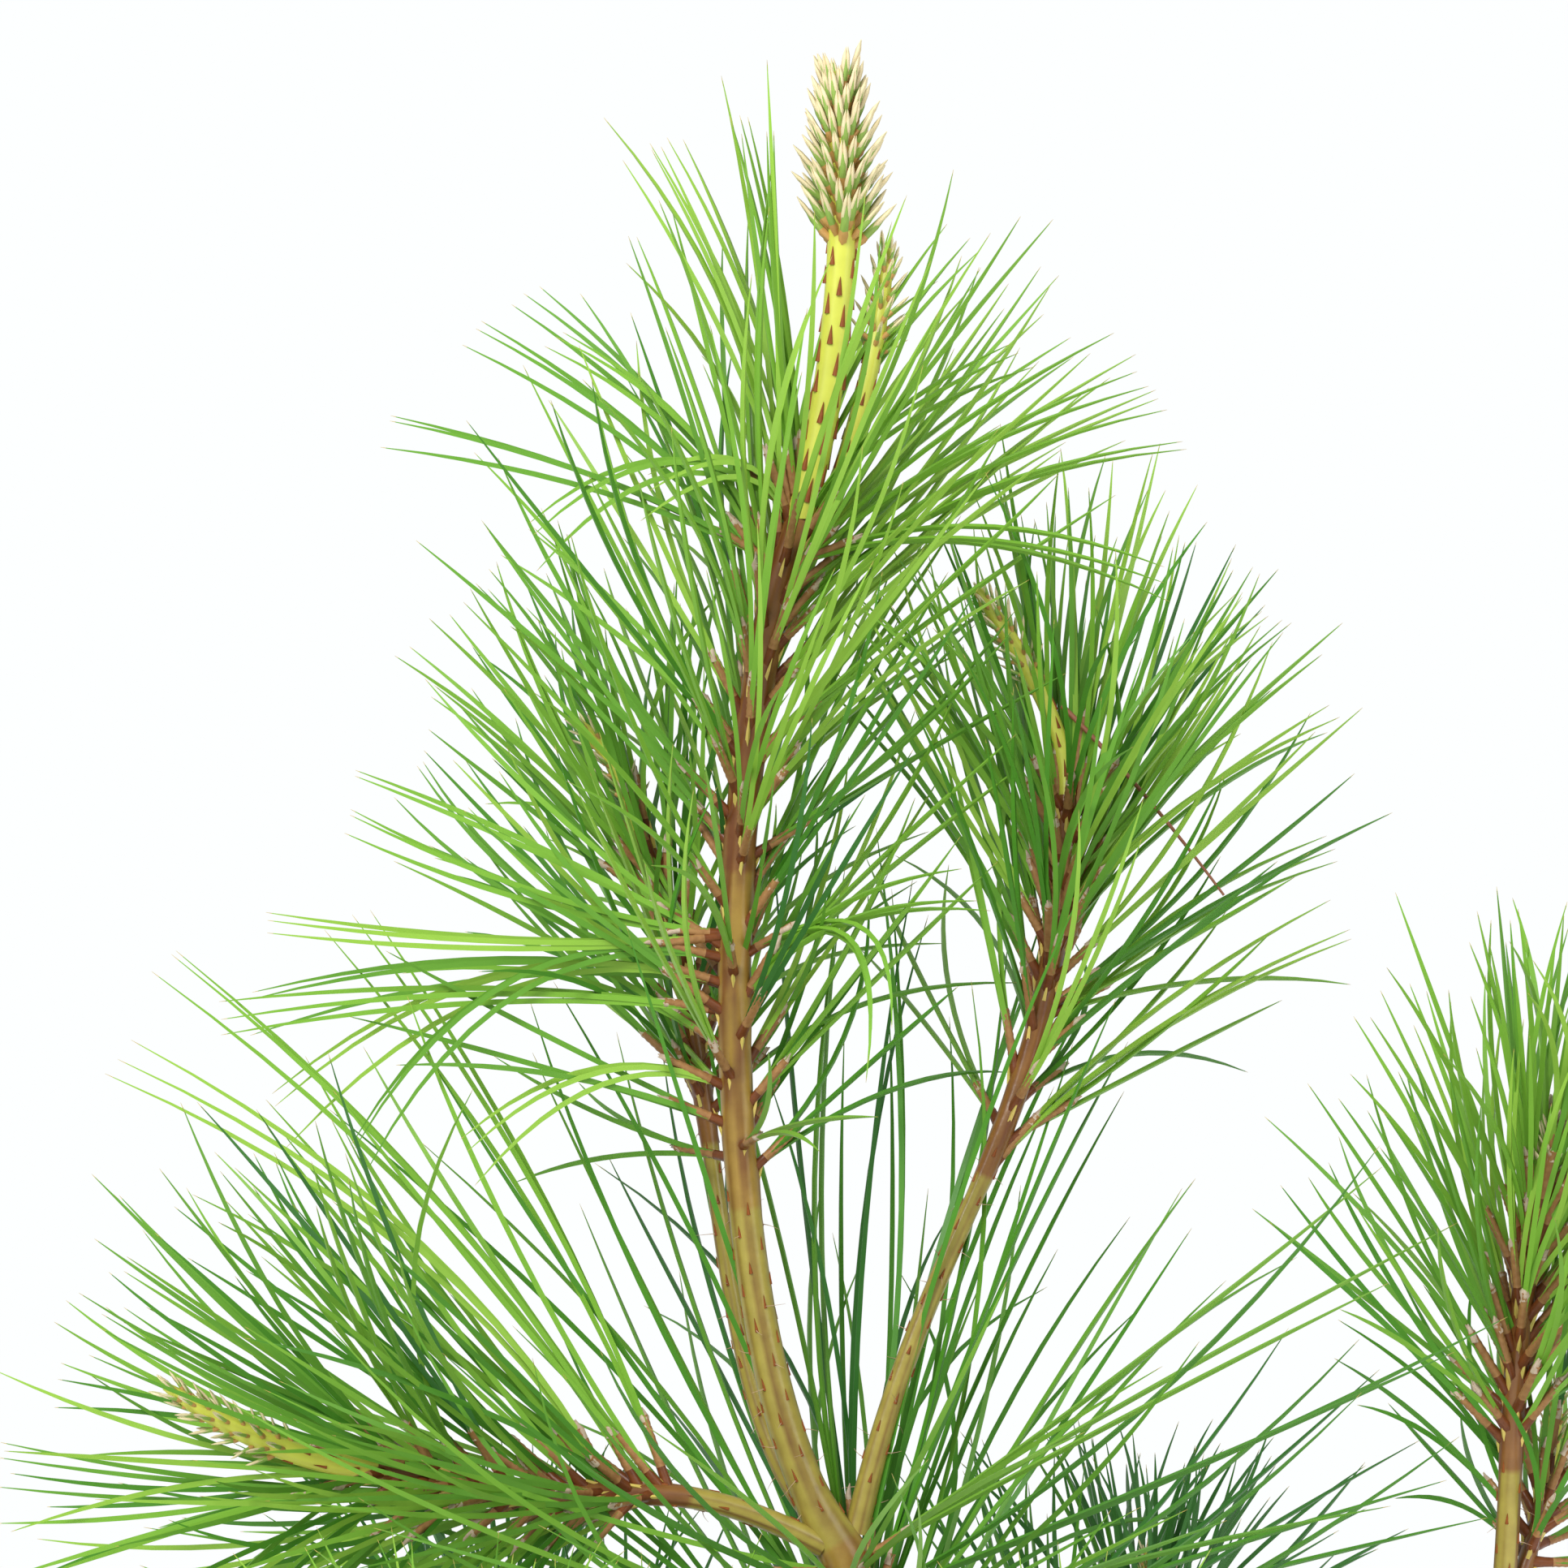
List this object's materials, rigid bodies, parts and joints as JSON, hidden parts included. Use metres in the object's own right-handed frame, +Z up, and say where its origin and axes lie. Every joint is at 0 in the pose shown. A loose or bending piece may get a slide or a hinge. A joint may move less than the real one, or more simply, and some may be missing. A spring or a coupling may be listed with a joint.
{
  "type": "potted loblolly pine",
  "caption": "Young loblolly pine in a plain nursery pot: a leaning leader and shoots with long needles in bundles, each ending in a new candle.",
  "frame": {"origin": "middle of the pot's flat underside", "axes": "+Z up the tree, +X to the right and +Y away from the viewer in the picture's view"},
  "size_m": [0.3705, 0.3158, 0.6703],
  "materials": {
    "bark": "satin, ribbed, olive to red-brown",
    "needles": "satin fresh green",
    "candle": "matte yellow-green with cream and tan buds",
    "pot": "satin black, moulded",
    "mix": "rough, dark, crumbly"
  },
  "bodies": {
    "root": {"back_left_bough": "bark", "back_left_foliage": "needles", "back_right_bough": "bark", "back_right_foliage": "needles", "far_right_bough_1": "bark", "far_right_bough_2": "bark", "far_right_foliage": "needles", "far_side_foliage": "needles", "front_left_bough": "bark", "front_left_foliage": "needles", "front_right_bough": "bark", "front_right_foliage": "needles", "leader_candle": "candle", "leader_high_foliage_1": "needles", "leader_high_foliage_2": "needles", "leader_high_foliage_3": "needles", "leader_low_foliage_1": "needles", "leader_low_foliage_2": "needles", "leader_low_foliage_3": "needles", "left_bough": "bark", "left_foliage": "needles", "low_back_bough": "bark", "low_back_foliage": "needles", "pot": "pot", "potting_mix": "mix", "right_bough": "bark", "right_foliage": "needles", "side_candle": "candle", "stem_foliage_1": "needles", "stem_foliage_2": "needles", "trunk": "bark", "whorl_foliage_1": "needles", "whorl_foliage_2": "needles", "whorl_foliage_3": "needles"}
  },
  "joints": []
}
